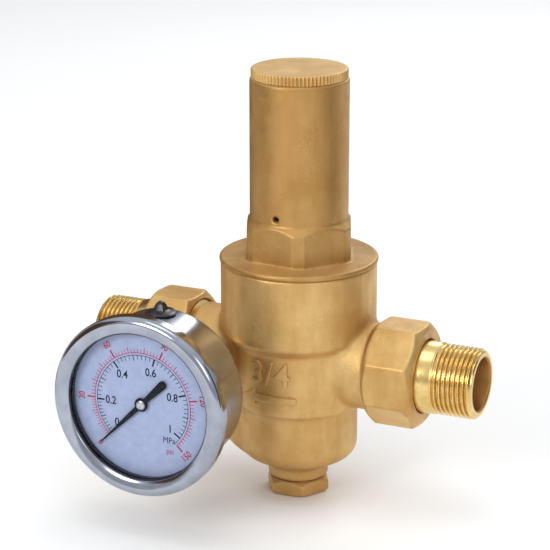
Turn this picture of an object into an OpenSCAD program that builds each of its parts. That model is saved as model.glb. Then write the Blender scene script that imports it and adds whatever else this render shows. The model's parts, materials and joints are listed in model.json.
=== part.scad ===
// Piston pressure reducing valve for 3/4 in pipe, with union ends and a pressure gauge.
// Millimetres. The origin is the centre of the inlet end face: +X leaves the inlet,
// +Z runs up the spring housing, and the gauge faces -Y.

/* [Pipe unions] */
// Distance from the spindle to the inlet end face
inlet_reach = 73.5; // [72:0.5:78]
// Distance from the spindle to the outlet end face
outlet_reach = 82; // [81:0.5:88]
// Outside diameter of the 3/4 in pipe thread
pipe_thread_d = 26.44; // [26:0.02:26.8]
// Length of the pipe thread
pipe_thread_length = 16; // [14:0.5:17]
// Diameter of the plain land beside the pipe thread
land_d = 27; // [26.9:0.05:27.4]
// Waterway through each tailpiece
tail_bore_d = 19.6; // [16:0.2:20]
// Length of a union nut
nut_length = 19; // [18:0.2:20]
// Distance across the flats of the octagonal union nut
nut_across_flats = 37.5; // [37:0.5:40]
// Outside diameter of the 1 in union thread on the body
union_thread_d = 33.25; // [33:0.05:33.3]

/* [Body] */
// Diameter of the upper piston chamber
chamber_d = 58.7; // [58:0.1:60]
// Diameter of the lower cup
cup_d = 45.2; // [44:0.2:47]
// Diameter of the boss that the bottom plug closes
boss_d = 23; // [22:0.5:24]
// Outside diameter of the plain part of a neck
neck_d = 31.6; // [31:0.2:32.4]
// Bore that the piston slides in
piston_bore_d = 48; // [47:0.5:49]
// Waterway through each body neck
neck_bore_d = 20; // [18:0.5:20]

/* [Spring housing] */
// Top face of the cap above the pipe axis
cap_top_z = 111.8; // [111:0.2:114]
// Outside diameter of the spring tube
tube_d = 36.8; // [36.4:0.2:38]
// Top of the hexagon above the pipe axis
hex_top_z = 55.3; // [54:0.1:56]
// Distance across the flats of the housing hexagon
hex_across_flats = 38.5; // [38:0.5:39]
// Diameter of the knurled cap
cap_d = 35.8; // [35:0.2:36.4]
// Serrations round the cap
cap_serrations = 76; // [60:2:84]

/* [Piston and spring] */
// Travel of the piston from open to shut
piston_travel = 4; // [3:0.5:4]
// Wire diameter of the main spring
spring_wire_d = 3.6; // [3:0.2:3.8]
// Turns of the main spring
spring_turns = 9; // [7:0.5:9.5]

/* [Gauge] */
// Distance from the spindle to the gauge axis, along the outlet neck
gauge_offset = 33.4; // [33:0.1:34]
// Height of the gauge axis
gauge_z = -2.5; // [-3:0.5:0]
// Diameter of the gauge case
case_d = 60; // [59:0.5:60.5]
// Diameter of the crimped bezel
bezel_d = 68.2; // [68:0.2:69]
// Distance from the pipe axis to the back of the case
case_back = 40.1; // [40:0.1:41]
// Angle that the pointer sweeps
pointer_sweep = 270; // [180:10:270]

/* [Hidden] */
$fn = 96;
gap = 0.05;
eps = 0.01;

// unions: local z is 0 at the end face and grows outwards
nut_outer_z = -21.6;
nut_inner_z = nut_outer_z - nut_length;
nut_lip = 4.7;
nut_hole_d = 27.9;
tail_flange_d = 30;
tail_flange = 3.5;
gasket_thickness = 2;
tail_inner_z = nut_outer_z - nut_lip - gap - tail_flange;
neck_end_z = tail_inner_z - gasket_thickness;
union_pitch = 2.309;
union_depth = 1.479;
neck_thread_length = 9.24;

// body levels, measured from the pipe axis
flange_top_z = 40.8;
body_top_z = 38.7;
bonnet_seat_z = 31;
bonnet_gasket_top_z = 31.8;
piston_seat_z = 17.5;
under_piston_z = 14;
inlet_top_z = 4;
inlet_floor_z = -6;
outlet_top_z = -12;
outlet_floor_z = -36;
boss_face_z = -46.7;
plug_face_z = boss_face_z - 0.8;
plug_end_z = -53;
chamber_floor_z = 12.6;
step_z = -16.45;
cup_round_z = -32.6;
cup_round_r = 6.5;
boss_top_z = -42;
mid_top_d = 49.6;
mid_low_d = 46.8;
body_thread_d = 53;
web_bore_d = 24;
seat_bore_d = 16;
seat_thread_d = 22.8;
passage_d = 16;

// spring housing
cap_rim = 3.6;
tube_top_z = cap_top_z - cap_rim;
tube_bore_d = 30;
tube_thread_d = 31.2;
tube_thread_z = 76;
cap_spigot_d = 31;
cap_spigot_z = tube_top_z - 7.2;
vent_d = 2.4;
vent_z = 58.4;
vent_angle = -94.6;
bonnet_turn = -7;
plug_turn = 2;

// adjusting screw and its spring seat
screw_low_z = 88;
screw_top_z = 96;
screw_nose_z = 86.3;
seat_low_z = 83;
seat_top_z = 87.5;

// piston and valve stem
piston_d = piston_bore_d - 0.1;
piston_top_z = piston_seat_z + 8;
spring_boss_z = piston_top_z + 3;
spring_mean_d = 25;
balance_bore_d = 16;
balance_d = balance_bore_d - 0.1;
stem_d = 9.2;
stem_thread_d = 7;
stem_bore_d = 3.2;
stem_low_z = -29;
stem_top_z = 29.5;
disc_top_z = -13 - piston_travel;
disc_d = 20.6;

// gauge: local z grows from the pipe axis towards the dial
boss_gauge_z = 21;
boss_gauge_d = 15;
socket_thread_d = 9.73;
case_wall = 0.8;
flange_z = 64.2;
bezel_front_z = 69.3;
window_low_z = 65.9;
window_top_z = 67.2;
window_d = 57.6;
sight_d = 55.2;
dial_z = 63;
dial_top_z = 63.5;
pointer_z = 64.2;
pointer_top_z = 64.8;
gear_module = 0.25;
pinion_teeth = 12;
sector_teeth = 96;
gear_low_z = 53;
gear_top_z = 55;
gear_centres = gear_module * (pinion_teeth + sector_teeth) / 2;
sector_sweep = pointer_sweep * pinion_teeth / sector_teeth;
back_plate_z = 50;
front_plate_z = 57;
plate = 1;
tail_arm = 5;
tube_mean_r = 21.5;
tube_thick = 2.4;
tube_low_z = 46;
tube_top_z_gauge = 54;
tube_end_angle = 50;
plug_z = 48.2;
pillar_places = [[-7.8, 3.5], [7.8, 3.5], [-7.8, -12.5], [7.8, -12.5]];

brass = [0.80, 0.62, 0.33];
cast_brass = [0.77, 0.60, 0.34];
steel = [0.75, 0.76, 0.78];
black_rubber = [0.10, 0.10, 0.11];

// ---------- shared shapes ----------

// Moves a shape drawn round the spindle into the part's frame
module on_spindle() translate([-inlet_reach, 0, 0]) children();

// Draws a union at the inlet (side 1) or at the outlet (side -1)
module on_union(side) {
    end_x = side > 0 ? 0 : -inlet_reach - outlet_reach;
    translate([end_x, 0, 0]) rotate([0, 90 * side, 0]) children();
}

// Local z leaves the outlet neck towards the dial, local y is up
module on_gauge() on_spindle() translate([-gauge_offset, 0, gauge_z]) rotate([90, 0, 0]) children();

module ring(outer_d, inner_d, low, high) translate([0, 0, low]) difference() {
    cylinder(d = outer_d, h = high - low);
    translate([0, 0, -1]) cylinder(d = inner_d, h = high - low + 2);
}

module rod(d, low, high) translate([0, 0, low]) cylinder(d = d, h = high - low);

// An O-ring on the Z axis
module o_ring(mean_d, section_d, z) translate([0, 0, z])
    rotate_extrude() translate([mean_d / 2, 0]) circle(d = section_d, $fn = 32);

// A prism with n flats, its corners cut back by a turned outline of [radius, z] points
module turned_prism(n, across_flats, outline, turn = 0) {
    low = min([for (p = outline) p[1]]);
    high = max([for (p = outline) p[1]]);
    corner_r = across_flats / 2 / cos(180 / n);
    intersection() {
        rotate([0, 0, turn]) translate([0, 0, low]) cylinder(r = corner_r, h = high - low, $fn = n);
        rotate_extrude() polygon(outline);
    }
}

// A hexagon nut with a chamfered top and bottom
module hex_nut(across_flats, bore_d, low, high, turn = 0) {
    clear_r = across_flats / sqrt(3) + 0.1;
    chamfer_r = across_flats / 2 * 0.97;
    drop = (clear_r - chamfer_r) * 0.6;
    difference() {
        turned_prism(6, across_flats, [
            [0, low], [chamfer_r, low], [clear_r, low + drop],
            [clear_r, high - drop], [chamfer_r, high], [0, high]
        ], turn);
        rod(bore_d, low - 1, high + 1);
    }
}

// Points of an arc
function arc(cx, cy, r, from, to, steps) =
    [for (i = [0:steps]) let (a = from + (to - from) * i / steps) [cx + r * cos(a), cy + r * sin(a)]];

// A thread drawn as rings, growing from low to high
module thread_rings(major_d, depth, pitch, low, count) {
    outline = [for (i = [0:count - 1]) each [
        [major_d / 2 - depth, low + i * pitch],
        [major_d / 2, low + (i + 0.45) * pitch],
        [major_d / 2, low + (i + 0.55) * pitch]
    ]];
    last = low + count * pitch;
    rotate_extrude() polygon(concat([[0, low]], outline, [[major_d / 2 - depth, last], [0, last]]));
}

// ---------- body ----------

function body_outline() = concat(
    [[0, boss_face_z], [boss_d / 2, boss_face_z], [boss_d / 2, boss_top_z]],
    arc(cup_d / 2 - cup_round_r, cup_round_z, cup_round_r, -60, 0, 10),
    [[cup_d / 2, step_z - 0.4], [mid_low_d / 2 - 0.3, step_z - 0.1], [mid_low_d / 2, step_z + 0.4]],
    [[mid_top_d / 2, chamber_floor_z - 5]],
    arc(chamber_d / 2 - 2, chamber_floor_z, 2, -50, 0, 5),
    [[chamber_d / 2, body_top_z], [0, body_top_z]]
);

// Bounds the low left passage: the slope of the cup's floor, carried outwards
module cup_floor_space() rotate_extrude() polygon([
    [0, boss_top_z], [boss_d / 2, boss_top_z], [boss_d / 2 + 30, boss_top_z + 15.2],
    [boss_d / 2 + 30, chamber_floor_z], [0, chamber_floor_z]
]);

module sloping_passage(d) translate([-38, 0, 2]) rotate([0, 135, 0]) cylinder(d = d, h = 37);

module low_lobe() intersection() {
    translate([-31.1, 0, -2.4]) rotate([0, 147.4, 0]) cylinder(d = neck_d - 0.6, h = 40);
    cup_floor_space();
}

// The high right passage swells up into the chamber
module high_shoulder() translate([32, 0, 0]) rotate([0, -68, 0]) cylinder(d = neck_d - 0.6, h = 22);

module body_neck(side) on_neck(side) {
    rod(neck_d, 0, inlet_or_outlet(side) + neck_end_z - neck_thread_length + 0.5);
    translate([0, 0, inlet_or_outlet(side) + neck_end_z - neck_thread_length])
        thread_rings(union_thread_d, union_depth, union_pitch, 0, 4);
}

function inlet_or_outlet(side) = side > 0 ? inlet_reach : outlet_reach;

// Local z leaves the spindle along the pipe axis
module on_neck(side) rotate([0, 90 * side, 0]) children();

// Raised band and blank tablet on the front of the waist, and the arrow along the flow
module cast_marks() intersection() {
    rod(mid_low_d + 2.4, step_z + 1.5, chamber_floor_z - 4);
    rotate([90, 0, 0]) translate([0, 0, 10]) linear_extrude(20) {
        translate([-9, -3.4]) square([17, 6.2]);
        translate([-6, -10.4]) square([15, 2.6]);
        polygon([[-13, -9.1], [-6, -12.6], [-6, -5.6]]);
    }
}

module waterways() {
    rod(body_thread_d, bonnet_seat_z, body_top_z + 1);
    rod(piston_bore_d, piston_seat_z, bonnet_seat_z + eps);
    rod(44, under_piston_z, piston_seat_z + eps);
    rod(web_bore_d, inlet_top_z - eps, under_piston_z + eps);
    rod(32, inlet_floor_z, inlet_top_z);
    rod(seat_thread_d, outlet_top_z - eps, inlet_floor_z + eps);
    rod(34, outlet_floor_z, outlet_top_z);
    rod(16.7, boss_face_z - 1, outlet_floor_z + eps);
    on_neck(1) rod(neck_bore_d, 13.5, inlet_reach);
    on_neck(-1) rod(neck_bore_d, 28, outlet_reach);
    sloping_passage(passage_d);
    translate([-gauge_offset, 0, gauge_z]) rotate([90, 0, 0]) {
        rod(socket_thread_d + 0.1, 11.5, boss_gauge_z + 1);
        rod(4.4, 5, 12);
    }
}

module valve_body() color(cast_brass) on_spindle() difference() {
    union() {
        rotate_extrude() polygon(body_outline());
        body_neck(1);
        body_neck(-1);
        high_shoulder();
        low_lobe();
        translate([-gauge_offset, 0, gauge_z]) rotate([90, 0, 0]) rod(boss_gauge_d, 0, boss_gauge_z);
        cast_marks();
    }
    waterways();
}

// ---------- spring housing ----------

module bonnet_hexagon() turned_prism(6, hex_across_flats, [
    [0, flange_top_z - 1], [21.1, flange_top_z - 1], [21.1, hex_top_z - 2],
    [tube_d / 2 + 0.5, hex_top_z], [0, hex_top_z]
], bonnet_turn);

module bonnet() color(cast_brass) on_spindle() difference() {
    union() {
        rotate_extrude() polygon([
            [0, bonnet_gasket_top_z], [body_thread_d / 2 - gap, bonnet_gasket_top_z],
            [body_thread_d / 2 - gap, body_top_z], [chamber_d / 2 + 0.1, body_top_z],
            [chamber_d / 2 + 0.45, body_top_z + 0.4], [chamber_d / 2 + 0.45, flange_top_z - 0.5],
            [chamber_d / 2 - 0.1, flange_top_z], [0, flange_top_z]
        ]);
        bonnet_hexagon();
        rotate_extrude() polygon([
            [0, hex_top_z - 1], [tube_d / 2, hex_top_z - 1], [tube_d / 2, tube_top_z - 0.5],
            [tube_d / 2 - 0.5, tube_top_z], [0, tube_top_z]
        ]);
    }
    rotate_extrude() polygon([
        [0, bonnet_gasket_top_z - 1], [21.5, bonnet_gasket_top_z - 1], [21.5, 35.5],
        [tube_bore_d / 2, 41], [tube_bore_d / 2, tube_thread_z], [tube_thread_d / 2, tube_thread_z + 0.6],
        [tube_thread_d / 2, tube_top_z + 1], [0, tube_top_z + 1]
    ]);
    rotate([0, 0, vent_angle]) translate([0, 0, vent_z]) rotate([0, 90, 0]) cylinder(d = vent_d, h = 25);
}

module bonnet_gasket() color([0.45, 0.28, 0.20]) on_spindle()
    ring(body_thread_d - 0.2, 44, bonnet_seat_z, bonnet_gasket_top_z);

// The serrated rim of the cap, seen from above
module serrated_outline() {
    half = 180 / cap_serrations;
    polygon([for (i = [0:cap_serrations - 1]) each [
        for (s = [[-0.55, 0], [0.55, 0], [0.85, -0.55], [1.15, -0.55]])
            let (a = (2 * i + s[0]) * half, r = cap_d / 2 + s[1]) [r * cos(a), r * sin(a)]
    ]]);
}

module top_cap() color(cast_brass) on_spindle() difference() {
    union() {
        intersection() {
            translate([0, 0, tube_top_z]) linear_extrude(cap_rim) serrated_outline();
            rotate_extrude() polygon([
                [0, tube_top_z], [cap_d / 2 + 0.1, tube_top_z], [cap_d / 2 + 0.1, cap_top_z - 0.5],
                [cap_d / 2 - 0.5, cap_top_z], [0, cap_top_z]
            ]);
        }
        rod(cap_spigot_d, cap_spigot_z, tube_top_z + 0.5);
    }
    rod(25, cap_spigot_z - 1, tube_top_z);
    ring(cap_spigot_d + 1, 27.8, tube_top_z - 1.95, tube_top_z - 0.1);
}

module cap_seal() color(black_rubber) on_spindle() o_ring(29.5, 1.56, tube_top_z - 1.03);

module adjusting_screw() color(brass) on_spindle() difference() {
    union() {
        rotate_extrude() polygon([
            [0, screw_low_z], [14.6, screw_low_z], [15.5, screw_low_z + 0.9],
            [15.5, screw_top_z - 0.9], [14.6, screw_top_z], [0, screw_top_z]
        ]);
        rod(8, screw_nose_z, screw_low_z + 1);
    }
    translate([0, 0, screw_low_z + 2]) cylinder(r = 10 / sqrt(3), h = 10, $fn = 6);
}

module upper_spring_seat() color(steel) on_spindle() difference() {
    union() {
        rod(29.2, seat_low_z, seat_top_z);
        rod(20, seat_low_z - 3, seat_low_z + 1);
    }
    rod(8.4, screw_nose_z, seat_top_z + 1);
}

// Height along the main spring: flat end turns, and an even climb between them
function spring_height(turn, low, high) =
    let (climb = min(max((turn - 0.8) / (spring_turns - 1.6), 0), 1)) low + (high - low) * climb;

module main_spring() color([0.55, 0.56, 0.58]) on_spindle() {
    low = piston_top_z + spring_wire_d / 2 + 0.02;
    high = seat_low_z - spring_wire_d / 2 - 0.02;
    sides = 8;
    stations = round(spring_turns * 24);
    points = [for (i = [0:stations], j = [0:sides - 1])
        let (turn = spring_turns * i / stations, a = 360 * turn, b = 360 * j / sides,
             r = spring_mean_d / 2 + spring_wire_d / 2 * cos(b))
        [r * cos(a), r * sin(a), spring_height(turn, low, high) + spring_wire_d / 2 * sin(b)]];
    walls = [for (i = [0:stations - 1], j = [0:sides - 1])
        let (k = (j + 1) % sides)
        [i * sides + j, (i + 1) * sides + j, (i + 1) * sides + k, i * sides + k]];
    first_end = [for (j = [0:sides - 1]) j];
    last_end = [for (j = [sides - 1:-1:0]) stations * sides + j];
    polyhedron(points, concat(walls, [first_end, last_end]));
}

// ---------- piston, stem and seat ----------

module piston() color(brass) on_spindle() difference() {
    union() {
        rotate_extrude() polygon([
            [0, piston_seat_z], [piston_d / 2 - 0.5, piston_seat_z], [piston_d / 2, piston_seat_z + 0.5],
            [piston_d / 2, piston_top_z - 0.5], [piston_d / 2 - 0.5, piston_top_z], [0, piston_top_z]
        ]);
        rod(20.6, piston_top_z - 1, spring_boss_z);
    }
    rod(stem_thread_d + 0.1, piston_seat_z - 1, spring_boss_z + 1);
    rod(14.4, piston_top_z - 1.5, spring_boss_z + 1);
    ring(piston_d + 2, 42.9, piston_seat_z + 2.7, piston_seat_z + 5.3);
}

module piston_seal() color(black_rubber) on_spindle() o_ring(45.4, 2.44, piston_seat_z + 4);

module piston_nut() color(steel) on_spindle()
    hex_nut(10, stem_thread_d + 0.1, piston_top_z - 1.5, piston_top_z + 2.5);

module guide_bush() color(brass) on_spindle() difference() {
    union() {
        rod(web_bore_d - 0.1, inlet_top_z, under_piston_z + 1);
        rod(28, under_piston_z, under_piston_z + 2);
    }
    rod(balance_bore_d, inlet_top_z - 1, under_piston_z + 3);
}

module balance_seal() color(black_rubber) on_spindle() o_ring(14.3, 1.56, 7.5);

module stem() color(steel) on_spindle() difference() {
    union() {
        rod(stem_thread_d, stem_low_z, stem_top_z);
        rod(stem_d, disc_top_z + 1.2, 2.5);
        rod(balance_d, 2, 13);
        rod(10, 12, piston_seat_z);
    }
    rod(stem_bore_d, stem_low_z - 1, 16);
    translate([-8, 0, 15.2]) rotate([0, 90, 0]) cylinder(d = 2.4, h = 16);
    ring(balance_d + 1, 12.6, 6.65, 8.35);
}

module seat_ring() color(steel) on_spindle() difference() {
    union() {
        rod(seat_thread_d - 0.1, outlet_top_z, inlet_floor_z + 0.5);
        rod(27, inlet_floor_z, inlet_floor_z + 1.6);
        rod(seat_bore_d + 2, outlet_top_z - 1, outlet_top_z + 1);
    }
    rod(seat_bore_d, outlet_top_z - 2, inlet_floor_z + 3);
}

module disc_holder() color(brass) on_spindle() difference() {
    rod(disc_d, disc_top_z - 6, disc_top_z - 0.6);
    ring(19.7, 9.9, disc_top_z - 3, disc_top_z + 1);
    rod(stem_thread_d + 0.1, disc_top_z - 7, disc_top_z + 1);
}

module disc_seal() color(black_rubber) on_spindle() ring(19.6, 10, disc_top_z - 3, disc_top_z);

module disc_washer() color(steel) on_spindle() ring(14, stem_thread_d + 0.1, disc_top_z, disc_top_z + 1.2);

module disc_nut() color(steel) on_spindle()
    hex_nut(10, stem_thread_d + 0.1, disc_top_z - 10, disc_top_z - 6);

module bottom_plug() color(cast_brass) on_spindle() union() {
    turned_prism(6, 21.8, [
        [0, plug_end_z], [11.4, plug_end_z], [12.7, plug_end_z + 1], [12.7, plug_face_z - 1.8],
        [10.8, plug_face_z], [0, plug_face_z]
    ], plug_turn);
    rod(16.6, plug_face_z - 1, -34.5);
}

module plug_washer() color([0.72, 0.45, 0.30]) on_spindle() ring(20.6, 16.8, plug_face_z, boss_face_z);

// ---------- unions ----------

module union_nut(side) color(cast_brass) on_union(side) difference() {
    clear_r = nut_across_flats / 2 / cos(22.5) + 0.2;
    turned_prism(8, nut_across_flats, [
        [0, nut_inner_z], [clear_r - 2.6, nut_inner_z], [clear_r, nut_inner_z + 1.9],
        [clear_r, nut_outer_z - 2.3], [clear_r - 3.2, nut_outer_z], [0, nut_outer_z]
    ], 22.5);
    rod(union_thread_d + 0.14, nut_inner_z - 1, nut_outer_z - nut_lip);
    rod(nut_hole_d, nut_inner_z - 1, nut_outer_z + 1);
}

module tailpiece(side) color(brass) on_union(side) difference() {
    union() {
        rod(pipe_thread_d, -pipe_thread_length, 0);
        rod(land_d, tail_inner_z, -pipe_thread_length);
        rod(tail_flange_d, tail_inner_z, tail_inner_z + tail_flange);
    }
    rod(tail_bore_d, tail_inner_z - 1, 1);
}

module union_gasket(side) color([0.30, 0.30, 0.31]) on_union(side)
    ring(tail_flange_d - 0.4, neck_bore_d + 0.6, neck_end_z, tail_inner_z);

module inlet_nut() union_nut(1);
module inlet_tailpiece() tailpiece(1);
module inlet_gasket() union_gasket(1);
module outlet_nut() union_nut(-1);
module outlet_tailpiece() tailpiece(-1);
module outlet_gasket() union_gasket(-1);

// ---------- gauge shell ----------

module gauge_socket() color(brass) on_gauge() difference() {
    union() {
        rod(socket_thread_d, 12, boss_gauge_z + 2);
        hex_nut(14, 1, boss_gauge_z + 1.5, case_back - 1.7, 30);
        rod(12.2, case_back - 3, 43);
        translate([-7, -6, 42.5]) cube([14, 12, back_plate_z - 42.5]);
        rotate([0, 0, 180 + tube_end_angle]) translate([3, -2.5, 46.5]) cube([17, 5, back_plate_z - 46.5]);
        tube_end_block(180 + tube_end_angle);
    }
    rod(3, 11, 45);
}

// The small block that closes an end of the bent tube
module tube_end_block(angle) rotate([0, 0, angle])
    translate([tube_mean_r - 2, -1.6, tube_low_z - 0.4]) cube([4, 3.2, tube_top_z_gauge - tube_low_z + 0.8]);

module gauge_washer() color([0.72, 0.45, 0.30]) on_gauge() ring(16, 10, boss_gauge_z, boss_gauge_z + 1.5);

module socket_seal() color(black_rubber) on_gauge() ring(18, 12.4, case_back - 1.7, case_back);

module gauge_case() color(steel) on_gauge() difference() {
    rotate_extrude() polygon(concat(
        [[6.2, case_back]], arc(case_d / 2 - 3, case_back + 3, 3, -90, 0, 6),
        [[case_d / 2, flange_z - case_wall], [33, flange_z - case_wall], [33, flange_z]],
        [[case_d / 2 - case_wall, flange_z]],
        arc(case_d / 2 - 3, case_back + 3, 3 - case_wall, 0, -90, 6),
        [[6.2, case_back + case_wall]]
    ));
    translate([0, 20, plug_z]) rotate([-90, 0, 0]) cylinder(d = 8, h = 15);
}

module gauge_bezel() color([0.80, 0.81, 0.83]) on_gauge() rotate_extrude() polygon(concat(
    [[30.3, flange_z - 1.7], [33, flange_z - 1.7]],
    arc(bezel_d / 2 - 1, flange_z - 0.7, 1, -90, 0, 4),
    arc(bezel_d / 2 - 2.6, bezel_front_z - 2.6, 2.6, 0, 100, 10),
    [[sight_d / 2 + 0.5, window_top_z + 1], [sight_d / 2 + 0.3, window_top_z + 0.55]],
    arc(bezel_d / 2 - 2.6, bezel_front_z - 2.6, 1.8, 100, 0, 8),
    [[bezel_d / 2 - 0.8, flange_z - 0.85], [30.3, flange_z - 0.85]]
));

module window_gasket() color(black_rubber) on_gauge() rotate_extrude() polygon([
    [sight_d / 2, flange_z + 0.05], [32.9, flange_z + 0.05], [32.9, window_top_z - 0.3],
    [30.5, window_top_z + 0.5], [sight_d / 2, window_top_z + 0.5], [sight_d / 2, window_top_z],
    [window_d / 2, window_top_z], [window_d / 2, window_low_z], [sight_d / 2, window_low_z]
]);

module gauge_window() color([0.85, 0.92, 0.95, 0.35]) on_gauge() rod(window_d - 0.1, window_low_z, window_top_z);

module filler_plug() color(black_rubber) on_gauge() translate([0, 0, plug_z]) rotate([-90, 0, 0]) difference() {
    rotate_extrude() polygon([
        [0, 26.5], [3.9, 26.5], [3.9, 29], [6.6, 29], [6.6, 30.4], [5.8, 31.2], [3, 31.9],
        [2.2, 34.6], [1, 36.2], [0, 36.2]
    ]);
    intersection() {
        rotate([90, 0, 0]) translate([0, 0, -10]) cylinder(d = case_d + 0.04, h = 20);
        ring(20, 7.82, 28, 31);
    }
}

// ---------- gauge movement ----------

module dial() color([0.86, 0.89, 0.95]) on_gauge() difference() {
    rod(57.2, dial_z, dial_top_z);
    rod(3.2, dial_z - 1, dial_top_z + 1);
}

module dial_posts() color(brass) on_gauge() for (x = [-7.8, 7.8])
    translate([x, -8, 0]) rod(2.6, front_plate_z + plate, dial_z);

module pointer() color(black_rubber) on_gauge() translate([0, 0, pointer_z]) rotate([0, 0, 225]) difference() {
    linear_extrude(pointer_top_z - pointer_z) union() {
        circle(r = 2.6);
        polygon([[0, -0.75], [24, -0.15], [24, 0.15], [0, 0.75]]);
        polygon([[0, 0.9], [-12.4, 1.5], [-12.4, -1.5], [0, -0.9]]);
        translate([-12.4, 0]) circle(r = 1.5);
    }
    translate([0, 0, -1]) cylinder(d = 1.3, h = 3);
}

module pointer_cap() color([0.62, 0.63, 0.65]) on_gauge() difference() {
    rotate_extrude() polygon([
        [0, pointer_top_z], [1.75, pointer_top_z], [1.75, pointer_top_z + 0.4],
        [1.3, pointer_top_z + 0.7], [0, pointer_top_z + 0.7]
    ]);
    rod(1.3, pointer_top_z - 1, pointer_top_z + 0.3);
}

// One involute tooth, at angle 0, as its outline from root to root
function involute_tooth(teeth, root_r, tip_r) =
    let (pitch_r = gear_module * teeth / 2, base_r = pitch_r * cos(20),
         half = 90 / teeth - 0.06 / pitch_r * 57.3,
         at_pitch = tan(20) * 57.2958 - 20,
         flank = [for (i = [0:4])
             let (r = max(base_r, root_r) + (tip_r - max(base_r, root_r)) * i / 4,
                  press = acos(min(1, base_r / r)),
                  a = half + at_pitch - (tan(press) * 57.2958 - press)) [r, a]])
    concat([[root_r, flank[0][1]]], flank);

// Outline of the teeth numbered first to last
function gear_outline(teeth, first, last, root_r, tip_r) =
    let (side = involute_tooth(teeth, root_r, tip_r), count = len(side))
    [for (n = [first:last]) each concat(
        [for (i = [0:count - 1]) let (a = 360 * n / teeth - side[i][1]) side[i][0] * [cos(a), sin(a)]],
        [for (i = [count - 1:-1:0]) let (a = 360 * n / teeth + side[i][1]) side[i][0] * [cos(a), sin(a)]]
    )];

pinion_r = gear_module * pinion_teeth / 2;
sector_r = gear_module * sector_teeth / 2;
// At rest a gap of the pinion faces the sector and the sector leans back by half its sweep
module pinion_arbor() color(brass) on_gauge() union() {
    rod(1.2, back_plate_z + 0.2, pointer_top_z + 0.25);
    translate([0, 0, gear_low_z]) rotate([0, 0, -90 + 180 / pinion_teeth])
        linear_extrude(gear_top_z - gear_low_z)
        polygon(gear_outline(pinion_teeth, 0, pinion_teeth - 1, pinion_r - 0.32, pinion_r + 0.2));
}

sector_half_teeth = ceil(sector_sweep / 2 * sector_teeth / 360) + 2;
sector_lean = round(sector_sweep / 2 * sector_teeth / 360) * 360 / sector_teeth;
module sector_gear() color(brass) on_gauge() translate([0, -gear_centres, 0]) {
    translate([0, 0, gear_low_z]) linear_extrude(gear_top_z - gear_low_z - 0.4) sector_plate();
    rod(1.4, back_plate_z + 0.2, front_plate_z + 0.8);
    rotate([0, 0, -90 - sector_lean]) translate([tail_arm, 0, 0]) rod(1, gear_top_z - 0.8, gear_top_z + 1.6);
}

module sector_plate() {
    edge = 360 * (sector_half_teeth + 0.5) / sector_teeth;
    rotate([0, 0, 90 - sector_lean]) difference() {
        polygon(concat([[0, 0]],
            gear_outline(sector_teeth, -sector_half_teeth, sector_half_teeth, sector_r - 0.32, sector_r + 0.2)));
        difference() {
            polygon(concat([[3, 0]], arc(0, 0, sector_r - 1.6, -edge + 9, edge - 9, 8)));
            circle(r = 3.6);
        }
    }
    circle(r = 2.2);
    rotate([0, 0, -90 - sector_lean]) {
        translate([0, -0.9]) square([tail_arm, 1.8]);
        translate([tail_arm, 0]) circle(r = 0.9);
    }
}

module movement_plate(z, arbor_hole) translate([0, 0, z]) difference() {
    intersection() {
        translate([0, -5, 0]) cylinder(r = 14, h = plate);
        translate([-9.6, -17.2, 0]) cube([19.2, 23, plate]);
    }
    translate([0, 0, -1]) cylinder(d = arbor_hole, h = 4);
    translate([0, -gear_centres, -1]) cylinder(d = 1.5, h = 4);
}

module movement_back_plate() color(brass) on_gauge() movement_plate(back_plate_z, 1.3);

module movement_front_plate() color(brass) on_gauge() movement_plate(front_plate_z, 1.3);

module movement_pillars() color(brass) on_gauge() for (p = pillar_places)
    translate([p[0], p[1], 0]) rod(2.4, back_plate_z + plate, front_plate_z);

module hairspring() color([0.45, 0.50, 0.62]) on_gauge() translate([0, 0, 55.9]) linear_extrude(0.4) {
    turns = 3.5;
    steps = 84;
    inner = [for (i = [0:steps]) let (a = 360 * turns * i / steps, r = 0.9 + 0.75 * turns * i / steps)
        r * [cos(a), sin(a)]];
    outer = [for (i = [steps:-1:0]) let (a = 360 * turns * i / steps, r = 1.05 + 0.75 * turns * i / steps)
        r * [cos(a), sin(a)]];
    polygon(concat(inner, outer));
}

// The flattened tube, bent round the movement from the socket's arm to the tip
module bourdon_tube() color([0.72, 0.55, 0.32]) on_gauge() rotate([0, 0, -tube_end_angle + 5])
    rotate_extrude(angle = 180 + 2 * tube_end_angle - 10) {
        side = tube_top_z_gauge - tube_low_z;
        corner = 0.8;
        translate([tube_mean_r, (tube_low_z + tube_top_z_gauge) / 2]) polygon([
            [-tube_thick / 2, -side / 2 + corner], [-tube_thick / 2 + corner, -side / 2],
            [tube_thick / 2 - corner, -side / 2], [tube_thick / 2, -side / 2 + corner],
            [tube_thick / 2, side / 2 - corner], [tube_thick / 2 - corner, side / 2],
            [-tube_thick / 2 + corner, side / 2], [-tube_thick / 2, side / 2 - corner]
        ]);
    }

module tube_tip() color(brass) on_gauge() union() {
    tube_end_block(-tube_end_angle);
    rotate([0, 0, -tube_end_angle]) translate([tube_mean_r, 0, 0]) rod(1.2, 54, 56.8);
}

// Runs from the tube's tip to the pin on the sector's tail
module link() color(steel) on_gauge() {
    tip = tube_mean_r * [cos(tube_end_angle), -sin(tube_end_angle)];
    tail = [-tail_arm * sin(sector_lean), -gear_centres - tail_arm * cos(sector_lean)];
    run = tip - tail;
    translate([tail[0], tail[1], 55.2]) rotate([0, 0, atan2(run[1], run[0])]) difference() {
        union() {
            translate([0, -0.7, 0]) cube([norm(run), 1.4, 0.8]);
            cylinder(r = 1.5, h = 0.8);
            translate([norm(run), 0, 0]) cylinder(r = 1.3, h = 0.8);
        }
        translate([0, 0, -1]) cylinder(r = 0.95, h = 3);
        translate([norm(run), 0, -1]) cylinder(r = 0.62, h = 3);
    }
}

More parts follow.
